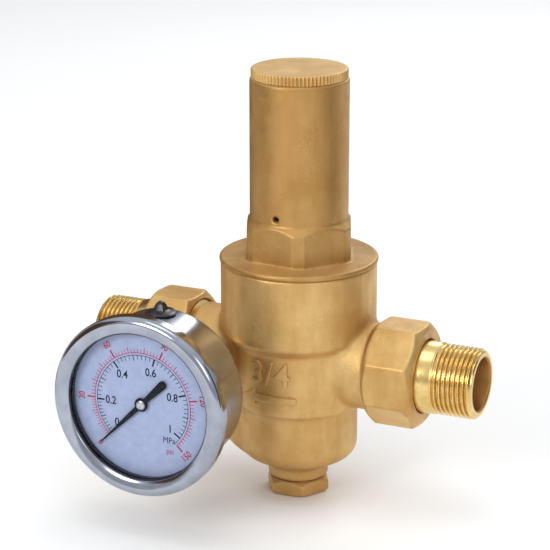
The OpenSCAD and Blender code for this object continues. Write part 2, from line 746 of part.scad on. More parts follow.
valve_body();
bonnet();
bonnet_gasket();
top_cap();
cap_seal();
adjusting_screw();
upper_spring_seat();
main_spring();
piston();
piston_seal();
piston_nut();
guide_bush();
balance_seal();
stem();
seat_ring();
disc_holder();
disc_seal();
disc_washer();
disc_nut();
bottom_plug();
plug_washer();
inlet_nut();
inlet_tailpiece();
inlet_gasket();
outlet_nut();
outlet_tailpiece();
outlet_gasket();
gauge_socket();
gauge_washer();
socket_seal();
gauge_case();
gauge_bezel();
window_gasket();
gauge_window();
dial();
dial_posts();
pointer();
pointer_cap();
pinion_arbor();
sector_gear();
movement_back_plate();
movement_front_plate();
movement_pillars();
hairspring();
bourdon_tube();
tube_tip();
link();
filler_plug();
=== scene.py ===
"""Looks of a brass pressure reducing valve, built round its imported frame.

Outlines are in millimetres, in the frame of the spindle, a union or the gauge, and are
brought into the row frame, in metres, by the place that each piece is given.
"""

import json
import math

import bmesh
import bpy
import numpy as np
from mathutils import Matrix, Vector
from mathutils.bvhtree import BVHTree


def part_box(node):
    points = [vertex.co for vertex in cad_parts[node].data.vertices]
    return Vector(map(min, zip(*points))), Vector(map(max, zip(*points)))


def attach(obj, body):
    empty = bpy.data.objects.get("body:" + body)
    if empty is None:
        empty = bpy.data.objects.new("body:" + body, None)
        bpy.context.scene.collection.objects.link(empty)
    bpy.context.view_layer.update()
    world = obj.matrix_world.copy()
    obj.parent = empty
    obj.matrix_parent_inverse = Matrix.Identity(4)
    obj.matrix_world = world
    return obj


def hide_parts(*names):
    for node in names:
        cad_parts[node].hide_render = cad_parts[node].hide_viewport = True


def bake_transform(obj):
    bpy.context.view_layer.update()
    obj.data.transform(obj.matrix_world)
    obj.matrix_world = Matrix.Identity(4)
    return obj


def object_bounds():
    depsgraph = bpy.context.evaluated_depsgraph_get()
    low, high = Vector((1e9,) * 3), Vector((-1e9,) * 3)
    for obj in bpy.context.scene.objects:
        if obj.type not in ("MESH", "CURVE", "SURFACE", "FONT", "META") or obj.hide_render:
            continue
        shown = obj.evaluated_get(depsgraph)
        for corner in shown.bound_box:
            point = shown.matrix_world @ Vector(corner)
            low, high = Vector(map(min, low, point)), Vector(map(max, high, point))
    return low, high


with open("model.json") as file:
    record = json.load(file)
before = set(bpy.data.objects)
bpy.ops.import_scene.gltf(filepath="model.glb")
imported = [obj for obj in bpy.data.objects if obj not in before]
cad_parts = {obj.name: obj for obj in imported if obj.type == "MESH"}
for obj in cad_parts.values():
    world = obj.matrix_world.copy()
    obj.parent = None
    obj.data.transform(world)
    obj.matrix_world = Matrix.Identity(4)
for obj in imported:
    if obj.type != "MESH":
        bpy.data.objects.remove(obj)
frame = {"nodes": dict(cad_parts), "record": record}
cad_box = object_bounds()

MM = 0.001
TURN = 2 * math.pi
scene = bpy.context.scene
slot_of = {part["node"]: part["material_slot"] for part in frame["record"]["subparts"]}


# ---------- places ----------

def middle(node):
    low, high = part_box(node)
    return (low + high) / 2


def turn_about(axis, degrees):
    return Matrix.Rotation(math.radians(degrees), 4, axis)


spindle_x = middle("top_cap").x
outlet_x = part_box("outlet_tailpiece")[0].x
gauge = middle("dial")
plug_y = middle("filler_plug").y

ON_SPINDLE = Matrix.Translation((spindle_x, 0, 0))
# Local z is 0 at a union's end face and grows outwards
ON_UNION = {
    "inlet": turn_about("Y", 90),
    "outlet": Matrix.Translation((outlet_x, 0, 0)) @ turn_about("Y", -90),
}
# Local z grows from the pipe axis towards the dial, and local y is up
ON_GAUGE = Matrix.Translation((gauge.x, 0, gauge.z)) @ turn_about("X", 90)
ON_PLUG = Matrix.Translation((gauge.x, plug_y, gauge.z))

# Driving sizes that the outlines share with the frame
CASE_R = 30.0
CASE_BACK = 40.1
FLANGE_Z = 64.2
BEZEL_R = 34.1
BEZEL_FRONT = 69.3
WINDOW_TOP = 67.2
SIGHT_R = 27.6
DIAL_TOP = 63.5
TUBE_TOP = 108.2
CAP_TOP = 111.8
NECK_END = -31.85
TAIL_INNER = -29.85


# ---------- materials ----------

class Shader:
    """A material's node tree, with short calls for the nodes used here."""

    def __init__(self, name):
        self.material = bpy.data.materials.new(name)
        self.material.use_nodes = True
        self.nodes = self.material.node_tree.nodes
        self.links = self.material.node_tree.links
        self.bsdf = self.nodes["Principled BSDF"]
        self.place = self.node("ShaderNodeTexCoord").outputs["Object"]

    def node(self, kind, **settings):
        made = self.nodes.new(kind)
        for key, value in settings.items():
            setattr(made, key, value)
        return made

    def feed(self, target, value):
        if isinstance(value, bpy.types.NodeSocket):
            self.links.new(value, target)
        else:
            target.default_value = value

    def noise(self, size, detail=3.0, rough=0.55, stretch=None):
        """Noise whose features are about size millimetres across, drawn out by stretch."""
        made = self.node("ShaderNodeTexNoise")
        made.inputs["Scale"].default_value = 1 / (size * MM)
        made.inputs["Detail"].default_value = detail
        made.inputs["Roughness"].default_value = rough
        where = self.place
        if stretch:
            mapping = self.node("ShaderNodeMapping")
            mapping.inputs["Scale"].default_value = stretch
            self.links.new(where, mapping.inputs["Vector"])
            where = mapping.outputs["Vector"]
        self.links.new(where, made.inputs["Vector"])
        return made.outputs["Fac"]

    def span(self, value, low, high, to_low=0.0, to_high=1.0):
        """Value, from low to high, spread over to_low to to_high."""
        made = self.node("ShaderNodeMapRange")
        self.feed(made.inputs["Value"], value)
        for name, number in zip(("From Min", "From Max", "To Min", "To Max"),
                                (low, high, to_low, to_high)):
            made.inputs[name].default_value = number
        return made.outputs["Result"]

    def mix(self, share, first, second, blend="MIX"):
        made = self.node("ShaderNodeMix", data_type="RGBA", blend_type=blend)
        self.feed(made.inputs[0], share)
        self.feed(made.inputs[6], first)
        self.feed(made.inputs[7], second)
        return made.outputs[2]

    def maths(self, kind, first, second):
        made = self.node("ShaderNodeMath", operation=kind)
        self.feed(made.inputs[0], first)
        self.feed(made.inputs[1], second)
        return made.outputs[0]

    def bump(self, height, depth, strength=1.0, under=None):
        """A bump that is depth millimetres deep, laid over another one if under is given."""
        made = self.node("ShaderNodeBump")
        made.inputs["Strength"].default_value = strength
        made.inputs["Distance"].default_value = depth * MM
        self.feed(made.inputs["Height"], height)
        if under:
            self.links.new(under, made.inputs["Normal"])
        return made.outputs["Normal"]

    def corner(self):
        """1 on an open face, falling towards 0 down in a corner."""
        made = self.node("ShaderNodeAmbientOcclusion", samples=6)
        made.inputs["Distance"].default_value = 9 * MM
        return made.outputs["AO"]

    def from_pipe_axis(self):
        """Distance from the axis that both pipes lie on, in metres."""
        across = self.node("ShaderNodeVectorMath", operation="MULTIPLY")
        self.links.new(self.place, across.inputs[0])
        across.inputs[1].default_value = (0, 1, 1)
        length = self.node("ShaderNodeVectorMath", operation="LENGTH")
        self.links.new(across.outputs["Vector"], length.inputs[0])
        return length.outputs["Value"]

    def facing_up(self):
        """1 on a level top face, 0 on a wall."""
        parts = self.node("ShaderNodeSeparateXYZ")
        normal = self.node("ShaderNodeTexCoord").outputs["Normal"]
        self.links.new(normal, parts.inputs[0])
        return self.span(parts.outputs["Z"], 0.75, 0.97)

    def edge(self):
        """0 on a flat face, up to 1 along an outer edge."""
        pointed = self.node("ShaderNodeNewGeometry").outputs["Pointiness"]
        return self.span(pointed, 0.52, 0.60)

    def set(self, **inputs):
        for name, value in inputs.items():
            self.feed(self.bsdf.inputs[name.replace("_", " ")], value)
        return self.material


def rgb(red, green, blue):
    """A colour from its usual 0 to 255 numbers."""
    def linear(value):
        value /= 255
        return value / 12.92 if value <= 0.04045 else ((value + 0.055) / 1.055) ** 2.4
    return (linear(red), linear(green), linear(blue), 1.0)


def cast_brass(name, shade=1.0):
    """Tumbled brass: stained in soft upright streaks and pitted in patches, with painted shade that
    darkens and reddens its corners, painted light on up-facing corners and a painted highlight
    along outer edges.
    """
    s = Shader(name)
    blotch = s.span(s.noise(13, 4), 0.35, 0.66)
    tone = s.mix(blotch, rgb(202, 162, 98), rgb(220, 185, 124))
    stain = s.span(s.noise(8, 3, 0.5, (1, 1, 0.16)), 0.46, 0.64)
    tone = s.mix(s.maths("MULTIPLY", stain, 0.34), tone, rgb(178, 130, 66))
    warm = s.span(s.noise(33, 2), 0.44, 0.62)
    tone = s.mix(s.maths("MULTIPLY", warm, 0.40), tone, rgb(198, 150, 92))
    patch = s.span(s.noise(12, 3), 0.50, 0.62)
    pit = s.span(s.noise(1.0, 3, 0.7), 0.50, 0.70)
    patched_pit = s.maths("MULTIPLY", patch, pit)
    tone = s.mix(s.maths("MULTIPLY", patched_pit, 0.40), tone, rgb(232, 202, 140))
    # Painted shade: corners are tinted darker and redder on walls, and painted light makes
    # up-facing corners lighter than the base.
    painted_corner_tone = s.mix(s.facing_up(), rgb(190, 128, 54), rgb(238, 204, 146))
    closed = s.span(s.corner(), 0.10, 0.75, 1.0, 0.0)
    tone = s.mix(s.maths("MULTIPLY", closed, 0.45), tone, painted_corner_tone)
    # Painted highlight: outer edges are lightened.
    tone = s.mix(s.maths("MULTIPLY", s.edge(), 0.50), tone, rgb(236, 206, 144))
    low = s.bump(s.noise(2.8, 3, 0.6), 0.20, 0.60)
    pitted = s.bump(patched_pit, 0.07, 0.80, low)
    normal = s.bump(s.noise(0.30, 2, 0.6), 0.05, 0.75, pitted)
    rough = s.span(s.noise(5, 4), 0.3, 0.7, 0.40, 0.53)
    tone = s.mix(1.0, tone, (shade, shade ** 1.3, shade ** 1.8, 1), "MULTIPLY")
    # Stained corners and upward faces mirror less than bare walls
    open_metal = s.span(s.facing_up(), 0.0, 1.0, 0.84, 0.35)
    bare = s.maths("SUBTRACT", open_metal, s.maths("MULTIPLY", closed, 0.45))
    return s.set(Base_Color=tone, Metallic=s.span(bare, 0.0, 1.0), Roughness=rough, Normal=normal)


def turned_brass(name, rings, bore_r=None):
    """Bright machined brass, with fine tool marks round the axis that rings names.

    Within bore_r millimetres of the pipe axis it is browner, darker and rougher.
    """
    s = Shader(name)
    tone = s.mix(s.span(s.noise(9, 3), 0.35, 0.65), rgb(222, 188, 114), rgb(238, 210, 146))
    # Painted shade: corners are tinted darker and browner.
    tone = s.mix(s.span(s.corner(), 0.1, 0.7, 0.60, 0.0), tone, rgb(166, 114, 52))
    along = {"x": (1, 0.015, 0.015), "y": (0.015, 1, 0.015), "z": (0.015, 0.015, 1)}[rings]
    marks = s.noise(0.12, 2, 0.5, along)
    rough = s.span(s.noise(3, 3), 0.3, 0.7, 0.20, 0.31)
    if bore_r:
        inside = s.span(s.from_pipe_axis(), bore_r * MM, (bore_r + 0.3) * MM, 1.0, 0.0)
        tone = s.mix(s.maths("MULTIPLY", inside, 0.85), tone, rgb(158, 108, 56))
        rough = s.maths("ADD", rough, s.maths("MULTIPLY", inside, 0.14))
    return s.set(Base_Color=tone, Metallic=1.0, Roughness=rough, Normal=s.bump(marks, 0.012, 0.5))


def pressed_steel(name, rough, wave):
    """Pressed stainless sheet: even, with press waves wave millimetres deep and fine rubbing."""
    s = Shader(name)
    smear = s.span(s.noise(9, 4, 0.55, (1, 0.3, 1)), 0.36, 0.66)
    tone = s.mix(smear, rgb(154, 158, 170), rgb(172, 177, 190))
    waves = s.bump(s.noise(12, 1.5, 0.4, (1, 0.30, 1)), wave, 0.60)
    normal = s.bump(s.noise(0.25, 2, 0.5, (1, 0.05, 1)), 0.002, 0.5, waves)
    level = s.span(smear, 0.0, 1.0, rough * 1.3, rough)
    return s.set(Base_Color=tone, Metallic=1.0, Roughness=level, Normal=normal)


def plain_metal(name, dark, light, rough, grain=0.3):
    """A machined metal with a fine even grain."""
    s = Shader(name)
    tone = s.mix(s.span(s.noise(5, 3), 0.35, 0.65), dark, light)
    level = s.span(s.noise(2, 3), 0.3, 0.7, rough - 0.05, rough + 0.07)
    return s.set(Base_Color=tone, Metallic=1.0, Roughness=level,
                 Normal=s.bump(s.noise(grain, 2), 0.02, 0.4))


def matte(name, dark, light, rough, grain, depth, shine=0.5):
    """Rubber, fibre or paint: a dull surface with a grain of grain millimetres."""
    s = Shader(name)
    tone = s.mix(s.span(s.noise(grain * 8, 3), 0.35, 0.65), dark, light)
    level = s.span(s.noise(grain * 3, 3), 0.3, 0.7, rough - 0.06, rough + 0.06)
    return s.set(Base_Color=tone, Roughness=level, Specular_IOR_Level=shine,
                 Normal=s.bump(s.noise(grain, 3), depth, 0.6))


def window_glass():
    """A thin clear pane: it lets the dial show and mirrors the room a little."""
    s = Shader("window_glass")
    smear = s.span(s.noise(7, 4), 0.4, 0.7, 0.015, 0.05)
    s.set(Base_Color=(1, 1, 1, 1), Metallic=1.0, Roughness=smear)
    clear = s.node("ShaderNodeBsdfTransparent")
    clear.inputs["Color"].default_value = (0.97, 0.98, 1.0, 1)
    facing = s.node("ShaderNodeFresnel")
    facing.inputs["IOR"].default_value = 1.45
    both = s.node("ShaderNodeMixShader")
    s.links.new(s.maths("MULTIPLY", facing.outputs[0], 0.15), both.inputs[0])
    s.links.new(clear.outputs[0], both.inputs[1])
    s.links.new(s.bsdf.outputs[0], both.inputs[2])
    s.links.new(both.outputs[0], s.nodes["Material Output"].inputs["Surface"])
    return s.material


MATERIALS = {
    "cast_brass": cast_brass("cast_brass"),
    "turned_brass": turned_brass("turned_brass", "z"),
    "stainless": plain_metal("stainless", rgb(176, 178, 182), rgb(208, 209, 212), 0.30),
    "polished_steel": pressed_steel("polished_steel", 0.13, 0.22),
    "spring_steel": plain_metal("spring_steel", rgb(120, 122, 128), rgb(156, 158, 164), 0.34),
    "black_rubber": matte("black_rubber", rgb(12, 13, 20), rgb(24, 26, 36), 0.30, 0.5, 0.02),
    "fibre": matte("fibre", rgb(66, 62, 58), rgb(96, 90, 84), 0.75, 0.4, 0.06),
    # Aged copper, made darker still so that the washer's thin visible ring reads as painted shade.
    "copper": plain_metal("copper", rgb(128, 84, 52), rgb(156, 104, 66), 0.42),
    "window_glass": window_glass(),
    "dial_paint": matte("dial_paint", rgb(158, 167, 194), rgb(168, 177, 204), 0.42, 0.3, 0.004),
    "pointer_paint": matte("pointer_paint", rgb(10, 12, 22), rgb(16, 19, 30), 0.42, 0.3, 0.001,
                           0.08),
}
PIPE_BRASS = turned_brass("pipe_brass", "x", bore_r=10.4)
BONNET_BRASS = cast_brass("bonnet_brass", 0.76)
CASE_STEEL = pressed_steel("case_steel", 0.20, 0.75)
BLACK_PRINT = matte("black_print", rgb(14, 18, 34), rgb(24, 28, 46), 0.5, 0.3, 0.004, 0.1)
RED_PRINT = matte("red_print", rgb(168, 30, 62), rgb(184, 44, 76), 0.5, 0.3, 0.004, 0.1)

for node, cad_object in frame["nodes"].items():
    for material_slot in cad_object.material_slots:
        material_slot.material = MATERIALS[slot_of[node]]


# ---------- mesh building ----------

def finished_piece(name, mesh, body, slot, stands_for=(), material=None, sharp=35):
    """Puts a mesh, already in the row frame, on its body, with its material."""
    piece = bpy.data.objects.new(name, mesh)
    scene.collection.objects.link(piece)
    mesh.materials.clear()
    mesh.materials.append(material or MATERIALS[slot])
    mesh.polygons.foreach_set("use_smooth", [True] * len(mesh.polygons))
    mesh.set_sharp_from_angle(angle=math.radians(sharp))
    if body:
        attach(piece, body)
    if stands_for:
        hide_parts(*stands_for)
    return piece


def mesh_of(name, points, faces, place):
    """A mesh from points in millimetres, with its normals facing out."""
    mesh = bpy.data.meshes.new(name)
    mesh.from_pydata([tuple(p) for p in points], [], faces)
    mesh.transform(place @ Matrix.Scale(MM, 4))
    shell = bmesh.new()
    shell.from_mesh(mesh)
    bmesh.ops.recalc_face_normals(shell, faces=shell.faces)
    shell.to_mesh(mesh)
    shell.free()
    return mesh


def arc(centre_r, centre_z, radius, start, end, steps):
    """Points of an arc in an outline, from one angle to another in degrees."""
    angles = [math.radians(start + (end - start) * i / steps) for i in range(steps + 1)]
    return [(centre_r + radius * math.cos(a), centre_z + radius * math.sin(a)) for a in angles]


def turned(outline, steps=192, shape=None):
    """A closed outline of (radius, z) points turned about z, as points and faces.

    shape(radius, z, angle) may give another radius, for threads and serrations.
    """
    points, faces, rows = [], [], []
    for radius, z in outline:
        if radius < 1e-6:
            rows.append([len(points)] * steps)
            points.append((0, 0, z))
            continue
        rows.append(list(range(len(points), len(points) + steps)))
        for k in range(steps):
            angle = TURN * k / steps
            r = shape(radius, z, angle) if shape else radius
            points.append((r * math.cos(angle), r * math.sin(angle), z))
    for row, following in zip(rows, rows[1:] + rows[:1]):
        for k in range(steps):
            n = (k + 1) % steps
            corners = list(dict.fromkeys([row[k], following[k], following[n], row[n]]))
            if len(corners) > 2:
                faces.append(corners)
    return points, faces


def turned_piece(name, outline, place, body, slot, stands_for=(), steps=192, shape=None, **more):
    points, faces = turned(outline, steps, shape)
    mesh = mesh_of(name, points, faces, place)
    return finished_piece(name, mesh, body, slot, stands_for, **more)


def thread(angle, z, major_r, depth, pitch):
    """Radius of a right-hand thread at one angle and height, rounded at crest and root."""
    phase = (z / pitch - angle / TURN) % 1
    fall = min(max((abs(2 * phase - 1) - 0.12) / 0.76, 0), 1)
    return major_r - depth * fall * fall * (3 - 2 * fall)


def levels(low, high, step):
    """Even levels from low to high, about a step apart."""
    count = max(2, round(abs(high - low) / step))
    return [low + (high - low) * i / count for i in range(count + 1)]


def points_of(mesh):
    flat = np.empty(len(mesh.vertices) * 3)
    mesh.vertices.foreach_get("co", flat)
    return flat.reshape(-1, 3)


def put_points(mesh, points):
    mesh.vertices.foreach_set("co", points.ravel())
    mesh.update()


def relax(mesh, rounds, fill=None):
    """Smooths a mesh.

    With fill, a share for each point, points only move outwards, which builds fillets in
    corners and leaves outer edges alone.
    """
    points = points_of(mesh)
    pairs = np.empty(len(mesh.edges) * 2, np.int32)
    mesh.edges.foreach_get("vertices", pairs)
    first, second = pairs.reshape(-1, 2).T
    count = len(points)
    ties = np.bincount(first, minlength=count) + np.bincount(second, minlength=count)
    for number in range(rounds):
        total = np.stack([
            np.bincount(first, points[second, axis], count)
            + np.bincount(second, points[first, axis], count)
            for axis in range(3)], axis=1)
        step = (total / ties[:, None] - points) * 0.5
        if fill is not None:
            if number % 5 == 0:
                put_points(mesh, points)
                normals = np.empty(count * 3)
                mesh.vertex_normals.foreach_get("vector", normals)
                normals = normals.reshape(-1, 3)
            outward = (step * normals).sum(1) > 0
            step *= (outward * fill)[:, None]
        points += step
    put_points(mesh, points)


def remeshed(mesh, voxel):
    """The same solid on an even grid of voxel millimetres, as a casting's skin."""
    holder = bpy.data.objects.new("remesh_holder", mesh)
    scene.collection.objects.link(holder)
    modifier = holder.modifiers.new("grid", "REMESH")
    modifier.mode = "VOXEL"
    modifier.voxel_size = voxel * MM
    graph = bpy.context.evaluated_depsgraph_get()
    made = bpy.data.meshes.new_from_object(holder.evaluated_get(graph))
    bpy.data.objects.remove(holder)
    return made


def skin_of(node, voxel):
    """A CAD node's solid, copied and given an even skin."""
    shell = bmesh.new()
    shell.from_mesh(frame["nodes"][node].data)
    bmesh.ops.remove_doubles(shell, verts=shell.verts, dist=0.0005 * MM)
    mesh = bpy.data.meshes.new(node + "_skin")
    shell.to_mesh(mesh)
    shell.free()
    return remeshed(mesh, voxel)


def local_mm(mesh, place):
    """The mesh's points in a local frame, in millimetres."""
    inverse = np.array(place.inverted())
    return (points_of(mesh) @ inverse[:3, :3].T + inverse[:3, 3]) / MM


def put_local_mm(mesh, place, points):
    matrix = np.array(place)
    put_points(mesh, points * MM @ matrix[:3, :3].T + matrix[:3, 3])


# ---------- castings ----------

# Radius, and lowest and highest level, of the machined hollows round the spindle
HOLLOWS = [(26.5, 31, 40), (24, 17.5, 31), (22, 14, 17.5), (12, 4, 14), (16, -6, 4),
           (11.4, -12, -6), (17, -36, -12), (8.4, -48, -36)]
# The same for the hollows that don't lie on the spindle
PIPE_BORE_R = 11.5
PIPE_BORE_FROM = 13
SLOPE_BORE_R = 9.5
SLOPE_BORE_START = (-38, 0, 2)
SLOPE_BORE_SIDE = -8
GAUGE_PORT_R = 6.2
GAUGE_PORT_FROM = -8
THREAD_ZONE = 9.24
THREAD_CORE = 14.9
# Half the width, the front, and the lowest and highest level of the raised marks
MARKS_X = 15
MARKS_Y = -15
MARKS_Z = (-14.6, 8.4)
WAIST_LOW = (-16.45, 23.4)
WAIST_HIGH = (12.6, 24.8)
WAIST_STEP = 0.9
WAIST_STEP_TOP = 6.0


def waist_radius(z):
    """The waist's nominal radius at one level, in millimetres."""
    share = (z - WAIST_LOW[0]) / (WAIST_HIGH[0] - WAIST_LOW[0])
    return WAIST_LOW[1] + (WAIST_HIGH[1] - WAIST_LOW[1]) * share


def outside_share(p):
    """1 for a body point on the outer skin, and 0 for one in a machined hollow."""
    outside = np.ones(len(p))
    round_spindle = np.hypot(p[:, 0], p[:, 1])
    for radius, low, high in HOLLOWS:
        inside = (round_spindle < radius + 1.2) & (p[:, 2] > low - 1) & (p[:, 2] < high + 1)
        outside[inside] = 0
    round_pipe = np.hypot(p[:, 1], p[:, 2])
    outside[(np.abs(p[:, 0]) > PIPE_BORE_FROM) & (round_pipe < PIPE_BORE_R)] = 0
    sloping = p - np.array(SLOPE_BORE_START)
    along = (sloping[:, 0] - sloping[:, 2]) / math.sqrt(2)
    away = np.sqrt(np.maximum((sloping ** 2).sum(1) - along ** 2, 0))
    outside[(away < SLOPE_BORE_R) & (p[:, 0] < SLOPE_BORE_SIDE)] = 0
    port = np.hypot(p[:, 0] - (gauge.x - spindle_x) / MM, p[:, 2] - gauge.z / MM)
    outside[(port < GAUGE_PORT_R) & (p[:, 1] < GAUGE_PORT_FROM)] = 0
    return outside


def body_casting():
    """The body with cast corners. Returns its skin, for the raised marks to lie on."""
    mesh = skin_of("valve_body", 0.5)
    p = local_mm(mesh, ON_SPINDLE)
    # The union threads are pieces of their own, so the necks are cut back to a core there
    thread_starts = {1: -spindle_x / MM + NECK_END - THREAD_ZONE,
                     -1: (spindle_x - outlet_x) / MM + NECK_END - THREAD_ZONE}
    round_pipe = np.hypot(p[:, 1], p[:, 2])
    for side, start in thread_starts.items():
        threaded = (side * p[:, 0] > start - 0.3) & (round_pipe > THREAD_CORE)
        p[threaded, 1:] *= (THREAD_CORE / round_pipe[threaded])[:, None]
    # So are the raised marks on the waist
    round_spindle = np.hypot(p[:, 0], p[:, 1])
    marked = (p[:, 1] < MARKS_Y) & (np.abs(p[:, 0]) < MARKS_X)
    marked &= (p[:, 2] > MARKS_Z[0]) & (p[:, 2] < MARKS_Z[1])
    marked &= round_spindle > waist_radius(p[:, 2])
    p[marked, :2] *= (waist_radius(p[:, 2])[marked] / round_spindle[marked])[:, None]
    # The waist stands proud of the cup below it, and the step fades out upwards
    round_spindle = np.hypot(p[:, 0], p[:, 1])
    from_skin = np.abs(round_spindle - waist_radius(p[:, 2]))
    fade = np.clip((WAIST_STEP_TOP - p[:, 2]) / (WAIST_STEP_TOP - WAIST_LOW[0]), 0, 1)
    fade *= np.clip((1.4 - from_skin) / 0.8, 0, 1) * (p[:, 2] > WAIST_LOW[0])
    p[:, :2] *= (1 + WAIST_STEP * fade / round_spindle)[:, None]
    put_local_mm(mesh, ON_SPINDLE, p)
    relax(mesh, 3)
    outside = outside_share(p)
    for start in thread_starts.values():
        outside[np.abs(p[:, 0]) > start - 1.5] = 0
    relax(mesh, 45, outside)
    relax(mesh, 2)
    finished_piece("body_casting", mesh, "housing", "cast_brass", ["valve_body"], sharp=60)
    return BVHTree.FromPolygons([v.co for v in mesh.vertices], [f.vertices for f in mesh.polygons])


def soft_copy(node, name, body, voxel, rounds, material=None):
    """A CAD node with its edges eased as casting and tumbling leave them."""
    mesh = skin_of(node, voxel)
    relax(mesh, rounds)
    finished_piece(name, mesh, body, slot_of[node], [node], material=material, sharp=60)


def union_thread(side):
    """The helical thread on the end of a body neck."""
    major_r, depth, pitch, sunk_r = 16.6, 1.45, 2.309, 14.0
    low, high = NECK_END - THREAD_ZONE, NECK_END

    def shape(radius, z, angle):
        if radius < THREAD_CORE + 0.1:
            return radius
        chamfer = THREAD_CORE + 0.2 + (high - z) * 1.2
        tail = 15.0 + (z - low) * 1.2
        return min(thread(angle, z, major_r, depth, pitch), chamfer, tail)

    outline = [(major_r, z) for z in levels(low, high, 0.16)]
    outline += [(sunk_r, high), (sunk_r, low)]
    turned_piece(f"{side}_neck_thread", outline, ON_UNION[side], "housing", "cast_brass",
                 ["valve_body"], 112, shape, material=PIPE_BRASS)


def tailpiece(side):
    """A machined tail: pipe thread, plain land and the flange that the nut pulls on."""
    major_r, depth, pitch, length = 13.22, 1.162, 1.814, 16.0
    bore_r, land_r, flange_r = 9.8, 13.5, 15.0

    def shape(radius, z, angle):
        if radius != major_r:
            return radius
        run_out = min(max((z + length) / 1.6, 0), 1)
        chamfer = major_r - depth - 0.25 - z * 1.1
        return min(thread(angle, z, major_r, depth * run_out, pitch), chamfer)

    outline = [(bore_r, TAIL_INNER), (bore_r, -0.7), (bore_r + 0.25, -0.2), (bore_r + 0.55, 0)]
    outline += [(major_r - depth - 0.45, 0)]
    outline += [(major_r, z) for z in levels(-0.02, -length, 0.12)]
    outline += [(land_r - 0.1, -length - 0.1), (land_r, -length - 0.3)]
    outline += [(land_r, TAIL_INNER + 3.5), (flange_r, TAIL_INNER + 3.5), (flange_r, TAIL_INNER)]
    turned_piece(f"{side}_tail", outline, ON_UNION[side], f"{side}_tail", "turned_brass",
                 [f"{side}_tailpiece"], 128, shape, material=PIPE_BRASS)


def serrated_cap():
    """The cap: a flat top, a finely serrated rim and a threaded spigot."""
    rim_r, serrations, cut = 17.9, 76, 0.5
    spigot_r, spigot_low, spigot_high, pitch = 15.5, 101, 106, 1.5
    bore_r, groove_r = 12.5, 13.9

    def shape(radius, z, angle):
        if z > TUBE_TOP + 0.05 and radius > rim_r - 0.45:
            wave = 0.5 + 0.5 * math.cos(angle * serrations)
            depth = cut * (1 - wave ** 0.7)
            return min(radius, rim_r - depth) if z < CAP_TOP - 0.3 else radius - depth * 0.6
        if radius == spigot_r and z < spigot_high:
            chamfer = 14.9 + (z - spigot_low) * 1.2
            return min(thread(angle, z, spigot_r, 0.75, pitch), chamfer)
        return radius

    outline = [(0, TUBE_TOP), (bore_r - 0.2, TUBE_TOP), (bore_r, TUBE_TOP - 0.2)]
    outline += [(bore_r, spigot_low)]
    outline += [(spigot_r, z) for z in levels(spigot_low, spigot_high, 0.14)]
    outline += [(spigot_r, 106.25), (groove_r, 106.25), (groove_r, 108.1), (spigot_r, 108.1)]
    outline += [(spigot_r, TUBE_TOP)]
    outline += [(17.3, TUBE_TOP + 0.02), (17.75, TUBE_TOP + 0.2), (rim_r, TUBE_TOP + 0.45)]
    outline += [(rim_r, z) for z in levels(TUBE_TOP + 0.8, CAP_TOP - 0.5, 0.5)]
    outline += [(17.75, CAP_TOP - 0.2), (17.35, CAP_TOP - 0.02), (16.8, CAP_TOP)]
    outline += [(9, CAP_TOP), (0, CAP_TOP)]
    turned_piece("serrated_cap", outline, ON_SPINDLE, "cap", "cast_brass", ["top_cap"],
                 serrations * 10, shape)


def text_mesh(words, size, thickness, weight=0.0):
    """A word as flat raised letters, centred on the origin, in millimetres."""
    curve = bpy.data.curves.new("words", "FONT")
    curve.body = words
    curve.size = size
    curve.align_x = "CENTER"
    curve.align_y = "CENTER"
    curve.extrude = thickness / 2
    curve.offset = weight
    curve.resolution_u = 4
    holder = bpy.data.objects.new("words", curve)
    scene.collection.objects.link(holder)
    graph = bpy.context.evaluated_depsgraph_get()
    mesh = bpy.data.meshes.new_from_object(holder.evaluated_get(graph))
    bpy.data.objects.remove(holder)
    return mesh


def skin_radius(skin, angle, z):
    """The skin's distance from the spindle, in millimetres, at one place on the waist."""
    outward = Vector((math.cos(angle), math.sin(angle), 0))
    reach = 33
    start = ON_SPINDLE @ ((outward * reach + Vector((0, 0, z))) * MM)
    distance = skin.ray_cast(start, -outward)[3]
    nominal = waist_radius(z)
    return min(max(reach - distance / MM, nominal - 0.8), nominal + 2.5)


def waist_mark(name, mesh, casting, rounds):
    """Lays a flat raised mark, in millimetres, on the front of the waist."""
    mesh.transform(Matrix.Scale(MM, 4))
    raised = remeshed(mesh, 0.16)
    placed = []
    for x, z, height in points_of(raised) / MM:
        angle = x / waist_radius(z) - math.pi / 2
        radius = skin_radius(casting, angle, z) + height
        placed.append((radius * math.cos(angle), radius * math.sin(angle), z))
    put_local_mm(raised, ON_SPINDLE, np.array(placed))
    relax(raised, rounds)
    finished_piece(name, raised, "housing", "cast_brass", ["valve_body"], sharp=60)


def prism(outline, low, high):
    """A flat outline raised from low to high, as points and faces."""
    count = len(outline)
    points = [(x, y, low) for x, y in outline] + [(x, y, high) for x, y in outline]
    walls = [(k, (k + 1) % count, (k + 1) % count + count, k + count) for k in range(count)]
    return points, walls + [tuple(reversed(range(count))), tuple(range(count, 2 * count))]


def waist_marks(casting):
    """Generic cast marks: the pipe size in inches, and the arrow along the flow."""
    size_mark = text_mesh("3/4", 13.0, 1.7, 0.12)
    size_mark.transform(Matrix.Translation((-1.2, 0.2, 0)))
    waist_mark("size_mark", size_mark, casting, 3)
    arrow = [(9, -10.4), (9, -8), (-7, -8), (-7, -5.9), (-13, -9.2), (-7, -12.5), (-7, -10.4)]
    points, faces = prism(arrow, -0.9, 1.1)
    mesh = bpy.data.meshes.new("arrow")
    mesh.from_pydata(points, [], faces)
    waist_mark("flow_arrow", mesh, casting, 4)


